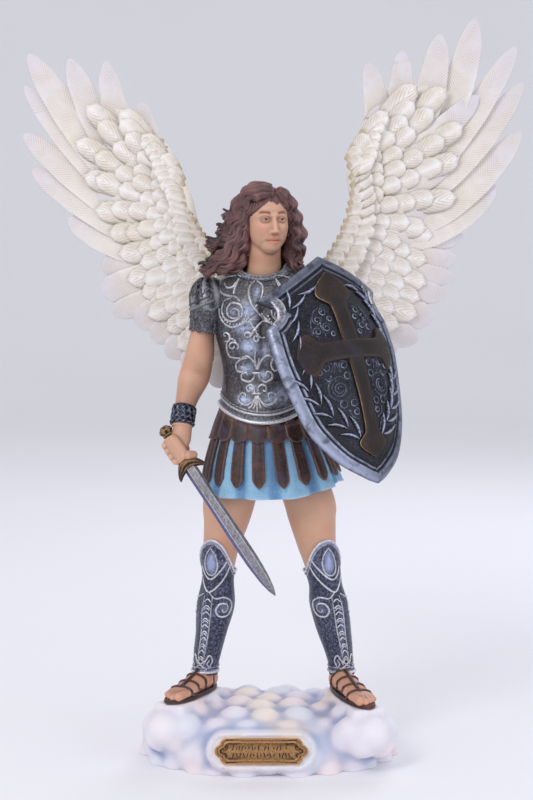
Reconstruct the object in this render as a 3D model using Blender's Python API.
"""Painted resin archangel: a winged figure in armour with a sword and a domed shield, standing on a cloud.

Metres, +Z up. The origin is the centre of the cloud's flat underside, and the figure faces -Y.
"""

import math
import random

import bmesh
import bpy
from mathutils import Matrix, Vector

# Driving sizes, in metres.
FIGURE_HEIGHT = 0.254
STAND_HEIGHT = 0.031
BASE_WIDTH = 0.1345
BASE_DEPTH = 0.099
CLOUD_SHIFT = 0.0012
WING_REACH = 0.176
FEATHER_THICKNESS = 0.0030
SHIELD_HEIGHT = 0.1135
SHIELD_WIDTH = 0.0743
SHIELD_THICKNESS = 0.0026
SHIELD_RIM = 0.0045
RIM_RISE = 0.0014
BLADE_LENGTH = 0.0790
BLADE_WIDTH = 0.0070
BLADE_THICKNESS = 0.0026
GRIP_LENGTH = 0.0150
GRIP_RADIUS = 0.0022
GUARD_SPAN = 0.0155
PLATE_WIDTH = 0.045
PLATE_HEIGHT = 0.0125
PLATE_THICKNESS = 0.0022
GLUE_GAP = 0.0003
# Neighbouring faces closer to flat than this are merged after a join.
FLAT_DEGREES = 1.0
NUDGE = 0.00003
EQUAL_CORNERS = 0.000005
NUDGE_TRIES = 12
# The joined shapes are thinned to these counts.
FIGURE_TRIANGLES = 4600
WING_TRIANGLES = 1600
CLOUD_TRIANGLES = 900

# Pose points are in millimetres of a figure this tall, measured from its soles, and scale with FIGURE_HEIGHT.
POSE_HEIGHT = 254.0
POSE_SCALE = FIGURE_HEIGHT / POSE_HEIGHT

# Linear colours, roughness and metallic value of each finish.
FINISHES = {
    "cloud": ((0.62, 0.58, 0.66), 0.6, 0.0),
    "feathers": ((0.70, 0.68, 0.70), 0.6, 0.0),
    "figure": ((0.45, 0.40, 0.40), 0.5, 0.2),
    "shield": ((0.10, 0.10, 0.13), 0.4, 0.8),
    "sword": ((0.32, 0.31, 0.32), 0.4, 0.8),
    "gilt": ((0.45, 0.30, 0.12), 0.4, 0.8),
}

# Horizontal sections: x, y, z, half width, half depth.
TORSO = [
    (1.5, 1.0, 122.0, 17.0, 14.0),
    (0.0, 1.0, 140.0, 20.5, 14.0),
    (-1.5, 1.0, 149.0, 21.0, 14.0),
    (-1.5, 0.5, 160.0, 20.2, 13.4),
    (-1.2, 0.0, 170.0, 22.0, 15.0),
    (-1.0, -0.5, 182.0, 25.0, 17.0),
    (-1.0, 0.0, 193.0, 26.5, 16.5),
    (-1.0, 1.0, 202.0, 25.5, 14.0),
    (-1.2, 1.8, 208.0, 19.5, 11.5),
    (-1.4, 2.2, 213.0, 11.5, 9.6),
]
TORSO_YAW = math.radians(-8.0)
CUIRASS_SKIRT = [
    (-1.5, 1.0, 158.0, 19.5, 13.0),
    (-1.4, 0.8, 150.0, 21.0, 15.4),
    (-1.2, 0.6, 143.5, 22.4, 17.6),
    (-1.0, 0.4, 139.0, 22.8, 18.6),
]
CLOTH_SKIRT = [
    (-0.5, 1.0, 150.0, 17.0, 13.0),
    (-0.3, 0.8, 142.0, 20.6, 16.0),
    (0.4, 0.0, 131.0, 25.2, 20.0),
    (1.6, -0.8, 116.0, 30.4, 23.0),
    (3.0, -1.5, 100.5, 34.0, 25.5),
]
SKIRT_FOLDS = 11
SKIRT_FOLD_DEPTH = 0.045
HEM_LIFT = 6.5
STRAP_COUNT = 18
TONGUE_COUNT = 18
LEFT_LEG = [
    (12.0, 1.0, 122.0, 13.5, 14.0),
    (21.0, 0.0, 97.0, 13.0, 14.0),
    (22.7, -0.5, 87.0, 11.8, 13.0),
    (25.0, -1.5, 74.0, 9.7, 11.0),
    (27.4, -2.5, 64.0, 8.4, 9.8),
    (29.6, -1.0, 54.0, 7.4, 8.4),
    (31.3, 1.5, 44.0, 8.7, 9.4),
    (33.6, 2.0, 31.0, 7.6, 8.4),
    (36.4, 1.5, 19.0, 5.9, 6.8),
    (38.0, 1.0, 9.0, 4.9, 5.8),
    (38.5, 1.5, 3.0, 5.0, 6.5),
]
RIGHT_LEG = [
    (-13.0, 1.0, 122.0, 13.5, 14.0),
    (-18.3, 0.0, 97.0, 13.0, 14.0),
    (-20.0, -0.5, 85.0, 11.2, 12.6),
    (-22.6, -1.5, 73.0, 9.0, 10.4),
    (-23.6, -2.5, 65.0, 8.0, 9.6),
    (-24.3, -1.0, 57.0, 7.0, 8.4),
    (-25.6, 1.5, 43.0, 8.6, 9.4),
    (-27.5, 2.0, 30.0, 6.8, 8.2),
    (-29.6, 1.5, 19.0, 5.9, 6.8),
    (-31.0, 1.0, 9.0, 4.9, 5.8),
    (-31.4, 1.5, 3.0, 5.0, 6.5),
]
# The greaves stand this far out from the shin.
GREAVE_PROUD = 0.6
GREAVE_LOW, GREAVE_SIDE, GREAVE_PEAK = 10.0, 62.0, 78.0

# Feet: heel and toe of the sole, seen from above.
LEFT_FOOT = ((34.0, 7.5), (50.0, -37.5))
RIGHT_FOOT = ((-26.5, 9.0), (-48.0, -28.0))
SOLE_THICKNESS = 1.8
FOOT_HALF_WIDTH = 7.6

# Arms: x, y, z, half width, half depth along the limb.
RIGHT_ARM = [
    (-25.0, 3.0, 200.0, 8.5, 9.0),
    (-30.2, 3.0, 192.0, 7.6, 9.0),
    (-31.6, 2.6, 181.0, 5.9, 7.4),
    (-32.9, 2.0, 171.0, 6.9, 7.4),
    (-34.8, 1.2, 161.5, 7.3, 6.6),
    (-36.9, -1.0, 155.5, 7.0, 6.6),
    (-39.4, -5.0, 147.5, 5.5, 5.2),
    (-40.8, -9.0, 141.0, 4.7, 4.2),
    (-41.6, -12.0, 134.5, 5.0, 4.0),
]
LEFT_ARM = [
    (23.0, 3.0, 200.0, 8.5, 9.0),
    (29.5, 4.0, 192.0, 7.6, 9.0),
    (34.0, 5.5, 181.0, 6.4, 7.4),
    (38.0, 6.0, 171.0, 6.8, 7.2),
    (41.0, 3.5, 163.0, 7.0, 6.6),
    (40.0, -3.0, 160.0, 6.6, 6.4),
    (36.0, -11.0, 161.5, 5.6, 5.2),
    (32.0, -19.0, 163.5, 5.0, 4.6),
    (30.0, -26.0, 164.5, 6.4, 5.6),
    (29.0, -31.0, 165.0, 6.0, 5.4),
]

# The head: neck, skull and face masses as centre and half axes.
NECK = [
    (-1.4, 2.5, 206.0, 10.5, 9.5),
    (-1.2, 1.5, 213.0, 8.6, 8.4),
    (-0.8, 0.5, 222.0, 7.8, 8.2),
    (-0.4, 0.0, 230.0, 8.0, 9.0),
]
SKULL = ((-0.8, 1.0, 240.0), (12.2, 14.6, 13.0))
FACE = ((0.6, -4.0, 232.5), (9.8, 9.6, 13.0))
HEAD_YAW = math.radians(18.0)
CHIN = ((1.6, -9.4, 222.8), (4.0, 4.0, 3.6))
NOSE = [((3.3, -12.8, 237.0), 0.9), ((4.3, -15.8, 231.5), 1.7), ((4.0, -13.6, 229.6), 1.5)]

# Hair: each lock is a list of points with a radius at its middle.
HAIR_CAP = ((-1.2, 2.6, 240.8), (12.6, 14.0, 12.2))
HAIR_LOCKS = [
    ([(3, -8, 250), (-6, -9, 249), (-12, -5, 243), (-17, -2, 238), (-22.5, -1, 236.5)], 4.2),
    ([(-5, -7, 249), (-11, -5, 244), (-15, -3, 236), (-20, -1, 231), (-26, 0, 229.5)], 4.4),
    ([(-9, -5, 243), (-13, -4, 234), (-17, -3, 227), (-24, -1, 224.5), (-31.5, 0, 223)], 4.6),
    ([(-10, -3, 236), (-14, -4, 226), (-18, -5, 219), (-25, -4, 213.5), (-34, -2, 210.5)], 4.8),
    ([(-9, 1, 232), (-12, -1, 222), (-16, -3, 215), (-21, -4, 212), (-27, -5, 212)], 4.6),
    ([(-12, 5, 240), (-17, 5, 230), (-22, 4, 222), (-26, 3, 215), (-29, 3, 211)], 5.0),
    ([(-7, 10, 240), (-11, 12, 228), (-15, 12, 217), (-17, 12, 206), (-21, 11, 199)], 5.6),
    ([(0, 12, 241), (-1, 15, 228), (-3, 15, 216), (-3, 15, 205), (-6, 14, 197)], 6.0),
    ([(6, 9, 241), (8, 12, 228), (10, 12, 216), (11, 12, 206), (9, 11, 199)], 5.6),
    ([(5, -7, 250), (9.5, -4, 245), (12, -1, 238), (13.5, 0, 231), (17.5, 0, 228)], 3.6),
    ([(9, 0, 244), (12.5, 1, 236), (14.5, 1, 229), (15, 0, 223), (18, -1, 217)], 4.2),
    ([(9, 3, 238), (12, 4, 229), (13.5, 3, 220), (14, 0, 213), (20, -3, 210)], 4.6),
]

# Wings: feather tips in millimetres from the wing's root, outwards and up.
WING_POSE_REACH = 176.0
WING_ROOT = (10.0, 17.0, 196.0)
WING_YAW = math.radians(9.0)
LEFT_WING = {
    "edge": [(4, -14), (15, 5), (24, 20), (31, 35.5), (32, 50.5), (30.5, 63), (33, 73), (36.5, 84), (38.5, 91)],
    "web": [
        ((34, 76), (56, 104)), ((35, 70), (74, 108)), ((36, 63), (84, 104)), ((37, 57), (92, 90)),
        ((36, 49), (90, 72)), ((35, 42), (86, 52)), ((33, 35), (78, 35)), ((30, 28), (74, 22)),
        ((24, 19), (72, 8)), ((18, 9), (68, -4)), ((11, -2), (60, -14)), ((4, -12), (44, -22)),
        ((2, -22), (26, -28)),
    ],
    "primaries": [
        ((41, 70), (46, 92), (41, 119), 6.2),
        ((46, 66), (56, 92), (58.5, 125.5), 6.4),
        ((50, 60), (69, 92), (78, 134), 7.6),
        ((52, 54), (80, 90), (96, 142), 8.0),
        ((54, 48), (84, 78), (117.5, 128.5), 6.8),
        ((52, 42), (86, 66), (121, 110), 6.8),
        ((50, 34), (84, 48), (120.5, 85.5), 7.4),
        ((46, 28), (78, 36), (107.5, 58), 7.6),
    ],
    "secondaries": [
        ((40, 30), (65.5, 29.5), (91, 32), 6.2),
        ((38, 24), (63, 20.5), (88, 20), 6.4),
        ((36, 18), (61, 13), (86.5, 11), 6.0),
        ((32, 12), (57, 5.5), (82.5, 2), 6.6),
        ((24, 4), (50, -4.5), (76, -10), 8.8),
        ((16, -2), (42, -13), (68, -21), 8.0),
        ((10, -8), (33.5, -19), (57, -27), 7.0),
        ((4, -14), (23, -24), (42, -31), 7.0),
    ],
    "coverts": [
        ((36, 66), (43, 80.5), (50, 98), 7.0),
        ((40, 60), (55, 75.5), (70, 94), 7.2),
        ((42, 54), (70, 77), (98, 103), 6.6),
        ((42, 48), (63, 57.5), (84, 70), 7.0),
        ((40, 40), (56, 41.5), (72, 46), 7.4),
        ((36, 30), (51.5, 27.5), (67, 28), 7.4),
        ((30, 20), (46, 13.5), (62, 10), 7.4),
        ((22, 8), (39, -1), (56, -7), 7.6),
    ],
}
RIGHT_WING = {
    "edge": [(3, -14), (9, 5), (13, 19), (20.5, 30), (25, 41.5), (27.5, 52), (32, 62), (37, 73), (41, 81)],
    "web": [
        ((36, 66), (58, 94)), ((36, 60), (74, 98)), ((36, 55), (86, 98)), ((36, 50), (88, 84)),
        ((33, 44), (86, 68)), ((30, 38), (80, 50)), ((26, 31), (70, 34)), ((20, 24), (62, 20)),
        ((15, 16), (58, 6)), ((12, 8), (52, -4)), ((8, 0), (44, -14)), ((5, -8), (34, -24)),
        ((2, -20), (20, -30)),
    ],
    "primaries": [
        ((43, 60), (50, 78), (53.5, 99.5), 6.2),
        ((46, 54), (62, 80), (71.5, 120.5), 6.8),
        ((48, 50), (70, 78), (90.5, 122), 7.4),
        ((50, 46), (78, 76), (111.5, 124.5), 8.0),
        ((50, 40), (78, 66), (113.5, 108.5), 6.8),
        ((50, 34), (78, 54), (114.5, 84), 7.0),
        ((48, 28), (74, 42), (110, 66), 7.2),
        ((44, 22), (66, 28), (91.5, 41), 7.6),
    ],
    "secondaries": [
        ((36, 24), (55, 19), (74.5, 16.5), 8.0),
        ((34, 16), (54.5, 8.5), (75, 4), 8.6),
        ((30, 8), (50, -1), (69.5, -7), 6.4),
        ((26, 2), (42, -6), (58, -11), 8.4),
        ((18, -4), (34, -13), (50, -19), 7.6),
        ((12, -8), (27, -19.5), (42, -28), 7.6),
        ((6, -12), (19.5, -25), (33, -35), 7.6),
        ((0, -18), (9, -32.5), (18, -44), 7.0),
    ],
    "coverts": [
        ((38, 56), (47, 68.5), (56, 84), 7.0),
        ((40, 50), (56, 66.5), (72, 86), 7.2),
        ((40, 44), (60, 57.5), (80, 74), 7.2),
        ((38, 37), (58, 43), (78, 52), 7.4),
        ((34, 29), (49, 29), (64, 32), 7.4),
        ((29, 20), (42.5, 16), (56, 15), 7.4),
        ((22, 10), (36, 4.5), (50, 2), 7.6),
        ((14, 0), (27, -7.5), (40, -12), 7.6),
    ],
}
WING_SEAT = 17.0
# A feather's width along its length, as shares of the length and of the half width.
FEATHER_STATIONS = [(0.0, 0.7), (0.45, 1.0), (0.78, 0.92), (0.94, 0.62), (1.0, 0.24)]

# The shield's plane: its lowest point, turn to the side, and lean.
SHIELD_TIP = (58.2, -57.7, 115.7)
SHIELD_TURN = math.radians(37.9)
SHIELD_LEAN = math.radians(14.5)
SHIELD_ROLL = math.radians(2.4)
SHIELD_DOME_ACROSS = 0.0129
SHIELD_DOME_ALONG = 0.0075
# Half outline from the bottom tip, in shares of half the width and of the height.
SHIELD_OUTLINE = [
    (0.0, 0.0),
    (0.17, 0.026),
    (0.463, 0.097),
    (0.689, 0.194),
    (0.828, 0.29),
    (0.937, 0.44),
    (1.0, 0.565),
    (0.995, 0.715),
    (0.825, 0.765),
    (0.83, 0.79),
    (0.98, 0.85),
    (0.60, 0.905),
    (0.0, 1.0),
]

# The sword points from the fist to a spot before the right shin.
POMMEL_SPOT = (-47.4, -13.1, 129.6)
BLADE_AIM = (51.4, -28.9, -72.6)

PLATE_SPOT_SHARE = (-0.018, 0.43)
PLATE_TILT = math.radians(14.0)


def posed(x, y, z):
    """A pose point in metres, above the top of the cloud."""
    return Vector((x * POSE_SCALE, y * POSE_SCALE, STAND_HEIGHT + z * POSE_SCALE))


def catmull(points, per_span):
    """A smooth curve through the points, as lists of numbers of any length."""
    ends = [points[0], *points, points[-1]]
    result = []
    for before, start, end, after in zip(ends, ends[1:], ends[2:], ends[3:]):
        for step in range(per_span):
            t = step / per_span
            result.append([
                0.5 * (2 * b + (c - a) * t + (2 * a - 5 * b + 4 * c - d) * t ** 2 + (3 * b - a - 3 * c + d) * t ** 3)
                for a, b, c, d in zip(before, start, end, after)
            ])
    result.append(list(points[-1]))
    return result


def loft(rings):
    """A closed mesh through rings of equally many points, with flat ends."""
    mesh = bmesh.new()
    loops = [[mesh.verts.new(point) for point in ring] for ring in rings]
    count = len(loops[0])
    for low, high in zip(loops, loops[1:]):
        for i in range(count):
            j = (i + 1) % count
            mesh.faces.new((low[i], low[j], high[j], high[i]))
    mesh.faces.new(list(reversed(loops[0])))
    mesh.faces.new(loops[-1])
    bmesh.ops.recalc_face_normals(mesh, faces=mesh.faces)
    return mesh


def made_object(name, mesh):
    """Turns a bmesh into an object in the scene."""
    bmesh.ops.triangulate(mesh, faces=mesh.faces)
    data = bpy.data.meshes.new(name)
    mesh.to_mesh(data)
    mesh.free()
    made = bpy.data.objects.new(name, data)
    bpy.context.scene.collection.objects.link(made)
    return made


def section_rings(sections, sides, yaw=0.0, wave=None, lift=None):
    """Ellipses at the sections' heights. wave scales a radius by angle and share of the way down, lift raises it."""
    rings = []
    for index, (x, y, z, half_width, half_depth) in enumerate(sections):
        share = index / (len(sections) - 1)
        ring = []
        for i in range(sides):
            angle = 2 * math.pi * i / sides
            factor = wave(angle, share) if wave else 1.0
            across = half_width * math.cos(angle) * factor
            deep = half_depth * math.sin(angle) * factor
            ring.append(posed(
                x + across * math.cos(yaw) - deep * math.sin(yaw),
                y + across * math.sin(yaw) + deep * math.cos(yaw),
                z + (lift(angle, z) if lift else 0.0),
            ))
        rings.append(ring)
    return rings


def limb_rings(sections, sides, side_hint=Vector((1, 0, 0))):
    """Rings square to the limb's own line: x, y, z, half width along the hint, half depth."""
    centres = [posed(*section[:3]) for section in sections]
    rings = []
    for index, section in enumerate(sections):
        before = centres[max(index - 1, 0)]
        after = centres[min(index + 1, len(centres) - 1)]
        along = (after - before).normalized()
        side = (side_hint - along * side_hint.dot(along)).normalized()
        deep = along.cross(side)
        rings.append([
            centres[index]
            + side * (section[3] * POSE_SCALE * math.cos(2 * math.pi * i / sides))
            + deep * (section[4] * POSE_SCALE * math.sin(2 * math.pi * i / sides))
            for i in range(sides)
        ])
    return rings


def tapered_rings(points, radius, sides, per_span, flat=0.8, blunt=0.16):
    """Rings of a lock or a finger that swells to its middle and narrows to its end."""
    path = catmull(points, per_span)
    sections = []
    for index, (x, y, z) in enumerate(path):
        share = index / (len(path) - 1)
        size = radius * (blunt + (1 - blunt) * math.sin(math.pi * (0.18 + 0.80 * share)) ** 0.7)
        sections.append((x, y, z, size, size * flat))
    return limb_rings(sections, sides, Vector((0.3, 1.0, 0.2)))


def ball(centre, axes, yaw=0.0, around=12, up=8):
    """An ellipsoid from a sphere, turned about the vertical."""
    mesh = bmesh.new()
    bmesh.ops.create_uvsphere(mesh, u_segments=around, v_segments=up, radius=1.0)
    place = (
        Matrix.Translation(posed(*centre))
        @ Matrix.Rotation(yaw, 4, "Z")
        @ Matrix.Diagonal((*(axis * POSE_SCALE for axis in axes), 1.0))
    )
    bmesh.ops.transform(mesh, matrix=place, verts=mesh.verts)
    return mesh


def outer_skin(mesh):
    """Deletes every loose shell but the widest, so that pockets between the joined shapes are filled."""
    left = set(mesh.verts)
    shells = []
    while left:
        stack = [left.pop()]
        shell = set(stack)
        while stack:
            for edge in stack.pop().link_edges:
                for vert in edge.verts:
                    if vert not in shell:
                        shell.add(vert)
                        left.discard(vert)
                        stack.append(vert)
        shells.append(shell)
    widest = max(shells, key=lambda shell: max(v.co.z for v in shell) - min(v.co.z for v in shell))
    bmesh.ops.delete(mesh, geom=[vert for vert in mesh.verts if vert not in widest], context="VERTS")


def joined(whole, operation, tools):
    """Applies one exact Boolean with a collection of objects, and returns the new mesh."""
    cut = whole.modifiers.new(operation.lower(), "BOOLEAN")
    cut.operand_type = "COLLECTION"
    cut.collection = tools
    cut.operation = operation
    cut.solver = "EXACT"
    cut.use_self = True
    return applied(whole)


def applied(whole):
    """The object's mesh with its modifiers carried out, which are then taken off."""
    bpy.context.view_layer.update()
    shape = bpy.data.meshes.new_from_object(whole.evaluated_get(bpy.context.evaluated_depsgraph_get()))
    whole.modifiers.clear()
    return shape


def thinned(whole, budget):
    """Keeps the outer skin, merges flat neighbours and thins it to a count of triangles."""
    skin = bmesh.new()
    skin.from_mesh(whole.data)
    outer_skin(skin)
    bmesh.ops.dissolve_limit(skin, angle_limit=math.radians(FLAT_DEGREES), verts=skin.verts, edges=skin.edges)
    bmesh.ops.triangulate(skin, faces=skin.faces)
    count = len(skin.faces)
    skin.to_mesh(whole.data)
    skin.free()
    if budget and count > budget:
        thin = whole.modifiers.new("thin", "DECIMATE")
        thin.ratio = budget / count
        thin.use_collapse_triangulate = True
        whole.data = applied(whole)


def closed_up(data):
    """Merges equal corners, and says whether each edge then lies between two faces."""
    mesh = bmesh.new()
    mesh.from_mesh(data)
    bmesh.ops.remove_doubles(mesh, verts=mesh.verts, dist=EQUAL_CORNERS)
    closed = all(len(edge.link_faces) == 2 for edge in mesh.edges)
    mesh.to_mesh(data)
    mesh.free()
    return closed


def fused(name, meshes, cutters=(), budget=None):
    """One closed body: the union of the meshes, less the cutters.

    Pieces that happen to touch along a line are nudged by a few hundredths of a millimetre until the join closes.
    """
    whole = made_object(name, meshes[0])
    start = whole.data.copy()
    groups = []
    for operation, others in (("UNION", meshes[1:]), ("DIFFERENCE", cutters)):
        tools = bpy.data.collections.new(name + "_" + operation.lower())
        for mesh in others:
            tool = made_object(name + "_tool", mesh)
            bpy.context.scene.collection.objects.unlink(tool)
            tools.objects.link(tool)
        groups.append((operation, tools))
    shift = random.Random(name)
    for _ in range(NUDGE_TRIES):
        whole.data = start.copy()
        for operation, tools in groups:
            if tools.objects:
                whole.data = joined(whole, operation, tools)
        thinned(whole, budget)
        if closed_up(whole.data):
            break
        for tool in groups[0][1].objects:
            tool.location = [shift.uniform(-NUDGE, NUDGE) for _ in range(3)]
    for _, tools in groups:
        for tool in list(tools.objects):
            bpy.data.objects.remove(tool)
        bpy.data.collections.remove(tools)
    return whole


def finished(part, finish, sharp_degrees=35.0):
    """Gives a part its material and smooth shading with sharp edges."""
    colour, roughness, metallic = FINISHES[finish]
    material = bpy.data.materials.get(finish) or bpy.data.materials.new(finish)
    material.use_nodes = True
    shader = material.node_tree.nodes["Principled BSDF"]
    shader.inputs["Base Color"].default_value = (*colour, 1.0)
    shader.inputs["Roughness"].default_value = roughness
    shader.inputs["Metallic"].default_value = metallic
    part.data.materials.clear()
    part.data.materials.append(material)
    part.data.shade_smooth()
    part.data.set_sharp_from_angle(angle=math.radians(sharp_degrees))
    return part


# The figure.


def hem_lift(angle, z):
    """The skirt hangs higher on its left side, more so towards the hem."""
    top, hem = CLOTH_SKIRT[0][2], CLOTH_SKIRT[-1][2]
    return HEM_LIFT * max(math.cos(angle), 0.0) ** 2 * min(max((top - z) / (top - hem), 0.0), 1.0) ** 2


def skirt_wave(angle, share):
    """Folds of the cloth, deeper towards the hem."""
    return 1.0 + SKIRT_FOLD_DEPTH * share ** 1.5 * math.cos(SKIRT_FOLDS * angle + 0.6)


def skirt_point(angle, z, lift):
    """A point on the skirt's side at a height, lifted off it."""
    for high, low in zip(CLOTH_SKIRT, CLOTH_SKIRT[1:]):
        if z >= low[2]:
            break
    share = (high[2] - z) / (high[2] - low[2])
    x, y, _, half_width, half_depth = (a + (b - a) * share for a, b in zip(high, low))
    return posed(
        x + (half_width + lift) * math.cos(angle), y + (half_depth + lift) * math.sin(angle), z + hem_lift(angle, z)
    )


def strap_ring(z, lift, gap_lift, tip_drop=0.0, gap_rise=0.0):
    """One ring round all the straps: two edges, a middle and a gap for each."""
    ring = []
    for index in range(STRAP_COUNT):
        turn = 2 * math.pi * index / STRAP_COUNT
        pitch = 2 * math.pi / STRAP_COUNT
        for share, rise, level in (
            (-0.36, tip_drop * 0.7, lift), (0.0, 0.0, lift + 0.5), (0.36, tip_drop * 0.7, lift), (0.5, gap_rise, gap_lift)
        ):
            ring.append(skirt_point(turn + share * pitch, z + rise, level))
    return ring


def strap_skirt():
    """The long straps as one shell, and the scalloped tongues over their tops."""
    straps = loft([
        strap_ring(139.0, -2.0, -3.0),
        strap_ring(137.0, 1.2, 0.6),
        strap_ring(122.0, 1.6, -0.9),
        strap_ring(109.5, 1.8, -1.2),
        strap_ring(105.5, 1.5, -1.4, 3.2, 5.5),
        strap_ring(108.0, -2.5, -3.5, 1.0, 3.0),
    ])
    tongues = []
    for z, lift, scallop in ((144.0, -2.0, 0.0), (143.0, 2.0, 0.0), (130.5, 2.4, 3.0), (131.5, -1.0, 1.5)):
        ring = []
        for index in range(TONGUE_COUNT * 2):
            angle = math.pi * (index + 1) / TONGUE_COUNT
            drop = -scallop if index % 2 else 0.0
            ring.append(skirt_point(angle, z + drop, lift - (0.0 if index % 2 else 0.6)))
        tongues.append(ring)
    return [straps, loft(tongues)]


def greave(leg, side):
    """The shin guard: a tube proud of the shin, with a slanted top that peaks over the knee."""
    levels = [GREAVE_LOW, 19.0, 30.0, 43.0, 55.0]
    rings = []
    sides = 12
    for index, level in enumerate([*levels, None]):
        ring = []
        for i in range(sides):
            angle = 2 * math.pi * i / sides
            forward = max(0.0, -math.sin(angle)) ** 1.5
            outer = 0.5 + 0.5 * math.cos(angle) * side
            top = GREAVE_SIDE + (GREAVE_PEAK - GREAVE_SIDE) * forward + 3.0 * outer
            z = top if level is None else level
            x, y, half_width, half_depth = leg_section(leg, z)
            flare = 1.0 if index == 0 else 0.0
            proud = GREAVE_PROUD + flare + (0.9 * forward if index >= len(levels) - 1 else 0.0)
            ring.append(posed(
                x + (half_width + proud) * math.cos(angle),
                y + (half_depth + proud) * math.sin(angle) - 0.8 * forward,
                z,
            ))
        rings.append(ring)
    return loft(rings)


def leg_section(leg, z):
    """The leg's centre and half sizes at a height."""
    for high, low in zip(leg, leg[1:]):
        if z >= low[2]:
            break
    share = (high[2] - z) / (high[2] - low[2])
    x, y, _, half_width, half_depth = (a + (b - a) * share for a, b in zip(high, low))
    return x, y, half_width, half_depth


def foot_outline(foot, grow=0.0, count=12):
    """The sole's outline seen from above: an egg shape, wide at the toes."""
    heel, toe = (Vector(end) for end in foot)
    along = (toe - heel).normalized()
    side = Vector((along.y, -along.x))
    length = (toe - heel).length
    outline = []
    for i in range(count):
        angle = 2 * math.pi * i / count
        share = 0.5 - 0.5 * math.cos(angle)
        half = FOOT_HALF_WIDTH * (0.66 + 0.34 * share)
        outline.append(
            heel
            + along * (length * share - grow * math.cos(angle))
            + side * ((half + grow) * math.sin(angle))
        )
    return outline


def foot(foot_ends, ankle):
    """Sole, instep and toes."""
    heel, toe = (Vector(end) for end in foot_ends)
    along = (toe - heel).normalized()
    sole = loft([
        [posed(point.x, point.y, z) for point in foot_outline(foot_ends)]
        for z in (0.0, SOLE_THICKNESS)
    ])
    length = (toe - heel).length
    sections = []
    for share, height, half_width, half_height in (
        (0.03, 4.6, 3.2, 3.6),
        (0.14, 5.2, 5.0, 5.0),
        (0.34, 5.6, 5.4, 5.2),
        (0.56, 3.8, 5.6, 3.6),
        (0.76, 3.0, 6.4, 3.0),
        (0.93, 2.6, 5.6, 2.2),
        (0.99, 2.2, 3.6, 1.4),
    ):
        middle = heel + along * (length * share)
        sections.append((middle.x, middle.y, height, half_width, half_height))
    instep = loft(limb_rings(sections, 8, Vector((along.y, -along.x, 0.0))))
    shin = loft(limb_rings([
        (*ankle, 9.0, 5.2, 6.0),
        (heel.x + along.x * 10, heel.y + along.y * 10, 3.0, 5.4, 7.6),
    ], 8))
    return [sole, instep, shin]


def fist(centre, grip_from, grip_to, outwards):
    """A palm and four fingers around the line of a grip."""
    along = (Vector(grip_to) - Vector(grip_from)).normalized()
    centre = Vector(centre)
    back = Vector(outwards) - along * Vector(outwards).dot(along)
    back.normalize()
    across = along.cross(back)
    pieces = [loft(limb_rings([
        (*(centre - along * 7.0 + back * 1.8), 3.4, 2.2),
        (*(centre - along * 4.0 + back * 2.2), 5.0, 2.9),
        (*(centre + along * 3.5 + back * 2.2), 5.2, 2.9),
        (*(centre + along * 6.8 + back * 1.8), 3.4, 2.2),
    ], 8, across))]
    for finger in range(4):
        base = centre + along * (-4.5 + 3.0 * finger)
        sections = []
        for step in range(4):
            turn = math.radians(-40 + 85 * step)
            point = base + (back * math.cos(turn) + across * math.sin(turn)) * 3.6
            sections.append((*point, 1.7, 1.7))
        pieces.append(loft(limb_rings(sections, 5, along)))
    return pieces


def shoulder_guard(side, centre_x):
    """Cap and two scalloped flaps over one shoulder."""
    cap = ball((centre_x, 2.5, 196.0), (9.6, 11.2, 12.0), around=12, up=6)
    flaps = []
    for top, bottom, reach in ((192.0, 181.5, 8.9), (200.0, 187.0, 9.6)):
        rings = []
        for z, swell in ((top, 0.0), ((top + bottom) / 2, 0.9), (bottom, 0.6)):
            ring = []
            for i in range(12):
                angle = 2 * math.pi * i / 12
                scallop = 1.6 * abs(math.sin(2.0 * angle)) if z == bottom else 0.0
                lean = (192.0 - z) * 0.12 * side
                ring.append(posed(
                    centre_x + lean + (reach * 0.86 + swell) * math.cos(angle),
                    2.6 + (reach + swell) * math.sin(angle),
                    z + scallop - 1.2 * math.cos(angle) * side * -1.0,
                ))
            rings.append(ring)
        flaps.append(loft(rings))
    return [cap, *flaps]


def head_masses():
    """Skull, face, chin, nose and neck."""
    masses = [
        loft(limb_rings(NECK, 10)),
        ball(*SKULL, yaw=HEAD_YAW, around=12, up=8),
        ball(*FACE, yaw=HEAD_YAW, around=12, up=8),
        ball(*CHIN, yaw=HEAD_YAW, around=8, up=5),
    ]
    (top, top_size), (tip, tip_size), (under, under_size) = NOSE
    masses.append(loft(limb_rings(
        [(*top, top_size, 1.6), (*tip, tip_size, 1.5), (*under, under_size, 1.0)], 6
    )))
    return masses


def hair():
    """A cap over the skull and the long locks."""
    locks = [ball(*HAIR_CAP, yaw=HEAD_YAW, around=12, up=8)]
    for points, radius in HAIR_LOCKS:
        locks.append(loft(tapered_rings(points, radius, 6, 1)))
    return locks


def wing_seats():
    """Two bosses on the back, each with a flat face for a wing's root."""
    bosses = []
    for side in (-1, 1):
        x, _, z = WING_ROOT
        bosses.append(loft([
            [posed(
                side * x + size * math.cos(2 * math.pi * i / 12),
                y,
                z + size * 1.25 * math.sin(2 * math.pi * i / 12),
            ) for i in range(12)]
            for y, size in ((4.0, 8.5), (14.0, 7.6), (WING_SEAT, 6.6))
        ]))
    return bosses


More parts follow.
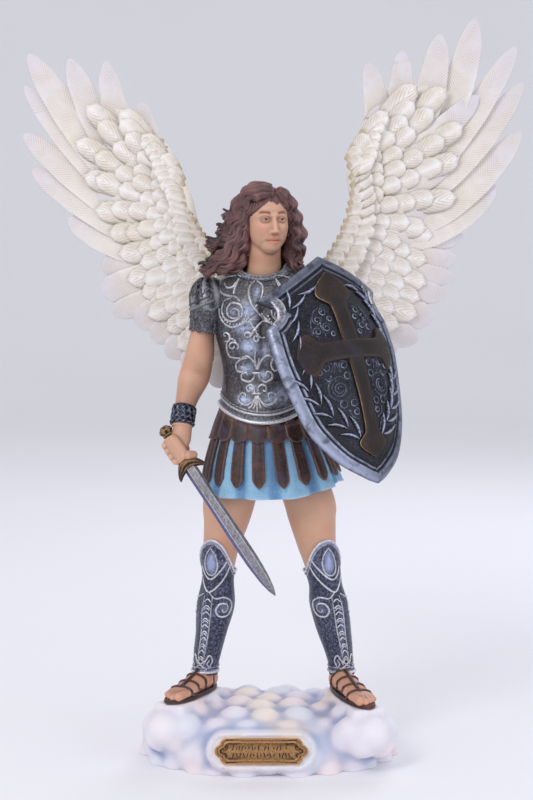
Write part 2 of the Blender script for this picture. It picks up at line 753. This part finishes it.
def figure():
    """The whole figure, with the grip's hole through its fist and room for the shield."""
    pieces = [
        loft(section_rings(TORSO, 16, TORSO_YAW)),
        loft(section_rings(CUIRASS_SKIRT, 20, TORSO_YAW)),
        loft(section_rings(CLOTH_SKIRT, SKIRT_FOLDS * 3, 0.0, skirt_wave, hem_lift)),
        loft(section_rings(LEFT_LEG, 10)),
        loft(section_rings(RIGHT_LEG, 10)),
        greave(LEFT_LEG, 1),
        greave(RIGHT_LEG, -1),
        loft(limb_rings(RIGHT_ARM, 8)),
        loft(limb_rings(LEFT_ARM, 8)),
    ]
    pieces += strap_skirt()
    pieces += foot(LEFT_FOOT, (38.0, 1.0))
    pieces += foot(RIGHT_FOOT, (-31.0, 1.0))
    pieces += shoulder_guard(-1, -28.6)
    pieces += shoulder_guard(1, 27.0)
    pieces += head_masses()
    pieces += hair()
    pieces += wing_seats()
    grip_from = Vector(POMMEL_SPOT)
    grip_to = grip_from + Vector(BLADE_AIM)
    fist_centre = grip_from + Vector(BLADE_AIM).normalized() * (GRIP_LENGTH / POSE_SCALE * 0.5)
    pieces += fist(fist_centre, grip_from, grip_to, (-0.55, -0.8, 0.15))
    pieces += [loft(limb_rings([
        (-40.8, -9.0, 141.0, 4.9, 4.4),
        (*(fist_centre + Vector((1.5, 2.5, 6.0))), 5.2, 4.2),
        (*(fist_centre + Vector((-1.0, -2.2, 0.5))), 4.6, 2.8),
    ], 8))]
    return finished(fused("figure", pieces, [*sword_pieces(GLUE_GAP), shield_room()], FIGURE_TRIANGLES), "figure")


# The sword.


def sword_frame():
    """The sword's own frame: origin at the pommel, Z to the point, X across the blade."""
    start = posed(*POMMEL_SPOT)
    along = Vector(BLADE_AIM).normalized()
    across = Vector((0.80, 0.12, 0.52))
    across = (across - along * across.dot(along)).normalized()
    flat = along.cross(across)
    return Matrix((
        (across.x, flat.x, along.x, start.x),
        (across.y, flat.y, along.y, start.y),
        (across.z, flat.z, along.z, start.z),
        (0.0, 0.0, 0.0, 1.0),
    ))


def turned(profile, sides):
    """Rings about the sword's axis from radius and distance."""
    return loft([
        [Vector((
            radius * math.cos(2 * math.pi * i / sides),
            radius * math.sin(2 * math.pi * i / sides),
            distance,
        )) for i in range(sides)]
        for radius, distance in profile
    ])


def sword_pieces(clear=0.0):
    """Pommel and grip, blade and curved guard, each swollen by a clearance."""
    knob = GRIP_RADIUS * 1.5
    grip = turned([
        (radius + clear, distance) for radius, distance in (
            (knob * 0.5, -0.0062 - clear),
            (knob, -0.0050),
            (knob * 1.05, -0.0035),
            (knob * 0.7, -0.0022 + clear),
            (GRIP_RADIUS, -0.0012 + clear),
            (GRIP_RADIUS, GRIP_LENGTH + 0.002),
        )
    ], 12)
    blade_rings = []
    for share, width in (
        (-0.02, 0.80), (0.06, 0.92), (0.30, 0.92), (0.55, 1.0), (0.75, 0.98), (0.88, 0.76), (0.96, 0.42), (1.0, 0.12)
    ):
        z = GRIP_LENGTH + share * BLADE_LENGTH
        w = BLADE_WIDTH / 2 * width + clear
        t = BLADE_THICKNESS / 2 * (0.35 + 0.65 * width) + clear
        blade_rings.append([Vector(corner) for corner in (
            (w, 0.0, z), (w * 0.45, t, z), (-w * 0.45, t, z), (-w, 0.0, z), (-w * 0.45, -t, z), (w * 0.45, -t, z)
        )])
    guard_rings = []
    for step in range(9):
        turn = -1 + step / 4
        x = turn * (GUARD_SPAN / 2 + clear)
        z = GRIP_LENGTH + 0.0004 + 0.0060 * turn * turn
        size = 0.0034 * (1.0 - 0.60 * abs(turn) ** 1.8) + clear
        guard_rings.append([Vector((
            x, size * 0.95 * math.sin(2 * math.pi * i / 8), z + size * math.cos(2 * math.pi * i / 8)
        )) for i in range(8)])
    pieces = [grip, loft(blade_rings), loft(guard_rings)]
    for piece in pieces:
        bmesh.ops.transform(piece, matrix=sword_frame(), verts=piece.verts)
    return pieces


def sword():
    """The sword as one casting."""
    return finished(fused("sword", sword_pieces()), "sword")


# The shield.


def shield_frame():
    """The shield's own frame: origin at its lowest point, X across, Y up along it, Z out of its face."""
    across = Vector((math.cos(SHIELD_TURN), math.sin(SHIELD_TURN), 0.0))
    lean = math.tan(SHIELD_LEAN)
    up = Vector((-lean, lean * across.x / across.y, 1.0)).normalized()
    out = across.cross(up)
    start = posed(*SHIELD_TIP)
    return Matrix((
        (across.x, up.x, out.x, start.x),
        (across.y, up.y, out.y, start.y),
        (across.z, up.z, out.z, start.z),
        (0.0, 0.0, 0.0, 1.0),
    )) @ Matrix.Rotation(SHIELD_ROLL, 4, "Z")


def dome(x, y):
    """How far the face falls back from the shield's frontmost plane."""
    across = x / (SHIELD_WIDTH / 2)
    along = (y - 0.57 * SHIELD_HEIGHT) / (SHIELD_HEIGHT / 2)
    tighter = 1.0 - 0.52 * min(along, 0.0)
    return -SHIELD_DOME_ACROSS * tighter * across ** 2 - SHIELD_DOME_ALONG * along ** 2


def shield_outline():
    """The full outline, once around, in metres."""
    right = [(share * SHIELD_WIDTH / 2, up * SHIELD_HEIGHT) for share, up in SHIELD_OUTLINE]
    left = [(-x, y) for x, y in reversed(right[1:-1])]
    return right + left


def shield_inset(distance):
    """The outline moved inwards by a distance."""
    outline = [Vector(point) for point in shield_outline()]
    result = []
    for index, point in enumerate(outline):
        before = (point - outline[index - 1]).normalized()
        after = (outline[(index + 1) % len(outline)] - point).normalized()
        normal = Vector((-(before.y + after.y), before.x + after.x)).normalized()
        lean = max(normal.dot(Vector((-after.y, after.x))), 0.5)
        result.append(point + normal * (distance / lean))
    return result


def shield_body(profile):
    """A domed plate from rings: each an inset, a share of what is left, and a height off the face."""
    middle = (0.0, 0.56 * SHIELD_HEIGHT)
    mesh = bmesh.new()
    loops = []
    for distance, share, level in profile:
        loop = []
        outline = shield_inset(distance)
        for x, y in outline:
            px, py = middle[0] + (x - middle[0]) * share, middle[1] + (y - middle[1]) * share
            loop.append(mesh.verts.new((px, py, dome(px, py) + level)))
        loops.append(loop)
    hubs = [mesh.verts.new((*middle, dome(*middle) + profile[end][2])) for end in (0, -1)]
    count = len(outline)
    for low, high in zip(loops, loops[1:]):
        for i in range(count):
            j = (i + 1) % count
            mesh.faces.new((low[i], low[j], high[j], high[i]))
    for hub, loop in zip(hubs, (loops[0], loops[-1])):
        for i in range(count):
            mesh.faces.new((hub, loop[i], loop[(i + 1) % count]))
    bmesh.ops.recalc_face_normals(mesh, faces=mesh.faces)
    bmesh.ops.transform(mesh, matrix=shield_frame(), verts=mesh.verts)
    return mesh


def shield_room():
    """The cutter that keeps the figure clear of the shield's back by the glue gap."""
    back = -SHIELD_THICKNESS - GLUE_GAP
    wide = -2 * GLUE_GAP
    return shield_body([
        (wide, 0.5, 0.012), (wide, 1.0, 0.012), (wide, 1.0, back), (wide, 0.66, back), (wide, 0.33, back),
    ])


def raised_bar(points, half_width, height):
    """A flat raised bar on the shield's face along points, each with a width factor."""
    rings = []
    for index, (x, y, wide) in enumerate(points):
        before, after = points[max(index - 1, 0)], points[min(index + 1, len(points) - 1)]
        along = Vector((after[0] - before[0], after[1] - before[1])).normalized()
        side = Vector((along.y, -along.x)) * half_width * wide
        ring = []
        for sign, level in ((1, -0.0018), (0.8, height), (-0.8, height), (-1, -0.0018)):
            px, py = x + side.x * sign, y + side.y * sign
            ring.append(Vector((px, py, dome(px, py) + level)))
        rings.append(ring)
    bar = loft(rings)
    bmesh.ops.transform(bar, matrix=shield_frame(), verts=bar.verts)
    return bar


def shield():
    """Domed plate, raised rim and a raised cross with flared ends."""
    rim, bevel = SHIELD_RIM, RIM_RISE
    back = -SHIELD_THICKNESS
    plate = shield_body([
        (rim + bevel, 0.5, 0.0), (rim + bevel, 1.0, 0.0), (rim, 1.0, bevel), (bevel, 1.0, bevel), (0.0, 1.0, 0.0),
        (SHIELD_THICKNESS * 0.6, 1.0, back), (0.0, 0.62, back), (0.0, 0.31, back),
    ])
    top, low, centre = 0.91 * SHIELD_HEIGHT, 0.115 * SHIELD_HEIGHT, 0.565 * SHIELD_HEIGHT
    reach = 0.78 * SHIELD_WIDTH / 2
    upright = [
        (0.0, low, 1.7), (0.0, low + 0.05 * SHIELD_HEIGHT, 1.0), (0.0, (low + centre) / 2, 0.8), (0.0, centre, 0.9),
        (0.0, (top + centre) / 2, 0.8), (0.0, top - 0.06 * SHIELD_HEIGHT, 1.0), (0.0, top, 1.9),
    ]
    beam = [
        (-reach, centre, 2.0), (-reach * 0.86, centre, 1.1), (-reach * 0.4, centre, 0.8), (0.0, centre, 0.9),
        (reach * 0.4, centre, 0.8), (reach * 0.86, centre, 1.1), (reach, centre, 2.0),
    ]
    pieces = [plate, raised_bar(upright, 0.0045, 0.0016), raised_bar(beam, 0.0045, 0.0019)]
    return finished(fused("shield", pieces), "shield")


# The wings.


def wing_spot(side, outwards, up, forward=0.0):
    """A point of a wing: out and up from its root, bent back away from the body."""
    scale = WING_REACH / WING_POSE_REACH
    root = posed(side * WING_ROOT[0], WING_ROOT[1], WING_ROOT[2])
    reach = outwards * scale
    back = reach * math.sin(WING_YAW) + 0.004 * math.sin(min(outwards, 60.0) / 60.0 * math.pi / 2)
    return root + Vector((side * reach, back - forward / 1000 + 0.0025, up * scale))


def feather(side, root, middle, tip, half_width, forward, thickness):
    """A bent blade with a rounded end, ridged along its middle."""
    rings = []
    root, middle, tip = Vector(root), Vector(middle), Vector(tip)
    knee = middle * 2 - (root + tip) / 2
    for share, wide in FEATHER_STATIONS:
        point = root * (1 - share) ** 2 + knee * (2 * share * (1 - share)) + tip * share ** 2
        along = ((knee - root) * (1 - share) + (tip - knee) * share).normalized()
        across = Vector((along.y, -along.x)) * half_width * wide
        bow = 1.2 * math.sin(math.pi * share)
        thick = thickness * (1.0 - 0.45 * share)
        rings.append([
            wing_spot(side, *(point + across), forward + bow - 0.1),
            wing_spot(side, *point, forward + bow + thick / 2),
            wing_spot(side, *(point - across), forward + bow - 0.1),
            wing_spot(side, *point, forward + bow - thick / 2),
        ])
    return loft(rings)


def wing(name, side, shape):
    """Long feathers, secondaries and coverts on a web with a thick leading edge, and a seat for the back."""
    thickness = FEATHER_THICKNESS * 1000
    edge_rings = []
    edge = shape["edge"]
    for index, (outwards, up) in enumerate(edge):
        before, after = Vector(edge[max(index - 1, 0)]), Vector(edge[min(index + 1, len(edge) - 1)])
        along = (after - before).normalized()
        across = Vector((along.y, -along.x))
        size = 6.0 - 3.6 * index / (len(edge) - 1)
        middle = Vector((outwards, up)) + across * size
        edge_rings.append([
            wing_spot(
                side,
                *(middle + across * size * math.cos(2 * math.pi * i / 8)),
                1.2 + (1.2 + size * 0.5) * math.sin(2 * math.pi * i / 8),
            )
            for i in range(8)
        ])
    web_rings = [
        [
            wing_spot(side, *inner, 1.5),
            wing_spot(side, *outer, 0.8),
            wing_spot(side, *outer, -1.6),
            wing_spot(side, *inner, -2.8),
        ]
        for inner, outer in shape["web"]
    ]
    pieces = [loft(edge_rings), loft(web_rings)]
    for group, depth, step in (("primaries", -1.0, 0.26), ("secondaries", 1.1, -0.22), ("coverts", 2.5, -0.12)):
        for order, (*bend, half_width) in enumerate(shape[group]):
            pieces.append(feather(side, *bend, half_width, depth + step * order, thickness))
    x, _, z = WING_ROOT
    seat = WING_SEAT + GLUE_GAP / POSE_SCALE
    pieces.append(loft([
        [posed(
            side * (x + out) + size * math.cos(2 * math.pi * i / 12),
            y,
            z + up + size * 1.2 * math.sin(2 * math.pi * i / 12),
        ) for i in range(12)]
        for y, size, out, up in ((seat, 6.0, 0, 0), (seat + 2, 6.4, 3, 1), (seat + 4, 6.0, 8, 2), (seat + 5.5, 4.5, 13, 3))
    ]))
    return finished(fused(name, pieces, [seat_cutter(side)], WING_TRIANGLES), "feathers")


def seat_cutter(side):
    """Everything in front of the wing's seat plane near the body."""
    size = 30.0
    low, high = WING_SEAT - 30.0, WING_SEAT + GLUE_GAP / POSE_SCALE
    x, _, z = WING_ROOT
    corners = [(-size, -size * 2), (size * 0.9, -size * 2), (size * 0.9, size), (-size, size)]
    return loft([[posed(side * (x + a), y, z + b) for a, b in corners] for y in (low, high)])


# The cloud and its plate.


LUMP_COUNT = 16
CLOUD_SQUARENESS = 2.4


def lump_height(x, y):
    """Rounded lumps over the cloud's top, as a share of a lump's size."""
    height = 0.0
    for index in range(LUMP_COUNT):
        turn = 2.399963 * index
        far = math.sqrt((index + 0.5) / LUMP_COUNT)
        cx, cy = far * math.cos(turn), far * math.sin(turn)
        near = ((x - cx) ** 2 + (y - cy) ** 2) / 0.30 ** 2
        height = max(height, math.sqrt(max(1.0 - near, 0.0)))
    return height


def cloud_rim(angle):
    """A direction on the cloud's lobed, squarish oval, as x and y shares of its half sizes."""
    lobe = 1.0 - 0.045 * abs(math.sin(4.5 * angle + 0.4)) ** 1.5
    return [
        lobe * math.copysign(abs(part) ** (2 / CLOUD_SQUARENESS), part)
        for part in (math.cos(angle), math.sin(angle))
    ]


def cloud_point(x, y, up):
    """A point from shares of the cloud's half sizes and of the stand's height."""
    return CLOUD_SHIFT + BASE_WIDTH / 2 * x, BASE_DEPTH / 2 * y, STAND_HEIGHT * up


def cloud_base():
    """A lobed, lumpy oval with level beds for the two soles and for the plate."""
    around = 36
    mesh = bmesh.new()
    loops = []
    for share, up in ((0.88, 0.0), (0.965, 0.17), (1.0, 0.38), (0.97, 0.58), (0.89, 0.74)):
        loop = []
        for i in range(around):
            x, y = cloud_rim(2 * math.pi * i / around)
            loop.append(mesh.verts.new(cloud_point(share * x, share * y, up)))
        loops.append(loop)
    for share in (0.75, 0.61, 0.46, 0.28):
        loop = []
        for i in range(around):
            x, y = (share * part for part in cloud_rim(2 * math.pi * i / around))
            swell = 0.66 + 0.20 * (1 - share ** 2) + 0.15 * lump_height(x, y) - 0.03 * y
            loop.append(mesh.verts.new(cloud_point(x, y, swell)))
        loops.append(loop)
    for low, high in zip(loops, loops[1:]):
        for i in range(around):
            j = (i + 1) % around
            mesh.faces.new((low[i], low[j], high[j], high[i]))
    mesh.faces.new(loops[0][::-1])
    hub = mesh.verts.new(cloud_point(0.0, 0.0, 0.92))
    for i in range(around):
        mesh.faces.new((loops[-1][i], loops[-1][(i + 1) % around], hub))
    bmesh.ops.recalc_face_normals(mesh, faces=mesh.faces)
    mounds = [sole_mound(LEFT_FOOT), sole_mound(RIGHT_FOOT)]
    cutters = [sole_bed(LEFT_FOOT), sole_bed(RIGHT_FOOT), plate_block(GLUE_GAP, 0.02)]
    return finished(fused("cloud_base", [mesh, *mounds], cutters, CLOUD_TRIANGLES), "cloud")


def sole_mound(foot_ends):
    """A mound of cloud that carries one foot."""
    rings = []
    for drop, grow in ((22.0, 7.0), (9.0, 6.0), (2.5, 3.6), (-0.6, 0.6)):
        rings.append([posed(point.x, point.y, -drop) for point in foot_outline(foot_ends, grow)])
    return loft(rings)


def sole_bed(foot_ends):
    """The cutter that levels the cloud under one sole."""
    return loft([
        [posed(point.x, point.y, z) for point in foot_outline(foot_ends, 2.2)]
        for z in (-GLUE_GAP / POSE_SCALE, 14.0)
    ])


def plate_frame():
    """The plate's frame: X across, Y up its face, Z out of its face."""
    centre = Vector((
        PLATE_SPOT_SHARE[0] * BASE_WIDTH,
        -BASE_DEPTH / 2 + PLATE_THICKNESS * 0.35,
        PLATE_SPOT_SHARE[1] * STAND_HEIGHT,
    ))
    return Matrix.Translation(centre) @ Matrix.Rotation(math.pi / 2 - PLATE_TILT, 4, "X")


def plate_outline(grow):
    """An oblong with hollowed corners."""
    half_w, half_h = PLATE_WIDTH / 2 + grow, PLATE_HEIGHT / 2 + grow
    notch = PLATE_HEIGHT * 0.26
    quarter = [(half_w, half_h - notch * 1.35), (half_w - notch * 0.75, half_h - notch * 0.6), (half_w - notch * 1.2, half_h)]
    outline = []
    for sx, sy in ((1, 1), (-1, 1), (-1, -1), (1, -1)):
        corners = quarter if sx * sy > 0 else quarter[::-1]
        outline += [(sx * x, sy * y) for x, y in corners]
    return outline


def plate_block(grow, front):
    """The plate's outline as a block from its back to front before it."""
    rings = []
    for z in (-PLATE_THICKNESS - grow, front):
        rings.append([Vector((x, y, z)) for x, y in plate_outline(grow)])
    block = loft(rings)
    bmesh.ops.transform(block, matrix=plate_frame(), verts=block.verts)
    return block


def nameplate():
    """A thin plate with a raised border."""
    border = 0.0011
    plate = bmesh.new()
    rings = []
    for grow, z in ((0.0, -PLATE_THICKNESS), (0.0, 0.0), (-border, 0.0), (-border * 1.3, -0.0006)):
        rings.append([plate.verts.new((x, y, z)) for x, y in plate_outline(grow)])
    count = len(rings[0])
    for low, high in zip(rings, rings[1:]):
        for i in range(count):
            j = (i + 1) % count
            plate.faces.new((low[i], low[j], high[j], high[i]))
    plate.faces.new(rings[0][::-1])
    plate.faces.new(rings[-1])
    bmesh.ops.recalc_face_normals(plate, faces=plate.faces)
    bmesh.ops.transform(plate, matrix=plate_frame(), verts=plate.verts)
    return finished(made_object("nameplate", plate), "gilt")


def main():
    for old in list(bpy.data.objects):
        bpy.data.objects.remove(old)
    cloud_base()
    nameplate()
    figure()
    sword()
    shield()
    wing("wing_left", 1, LEFT_WING)
    wing("wing_right", -1, RIGHT_WING)


main()
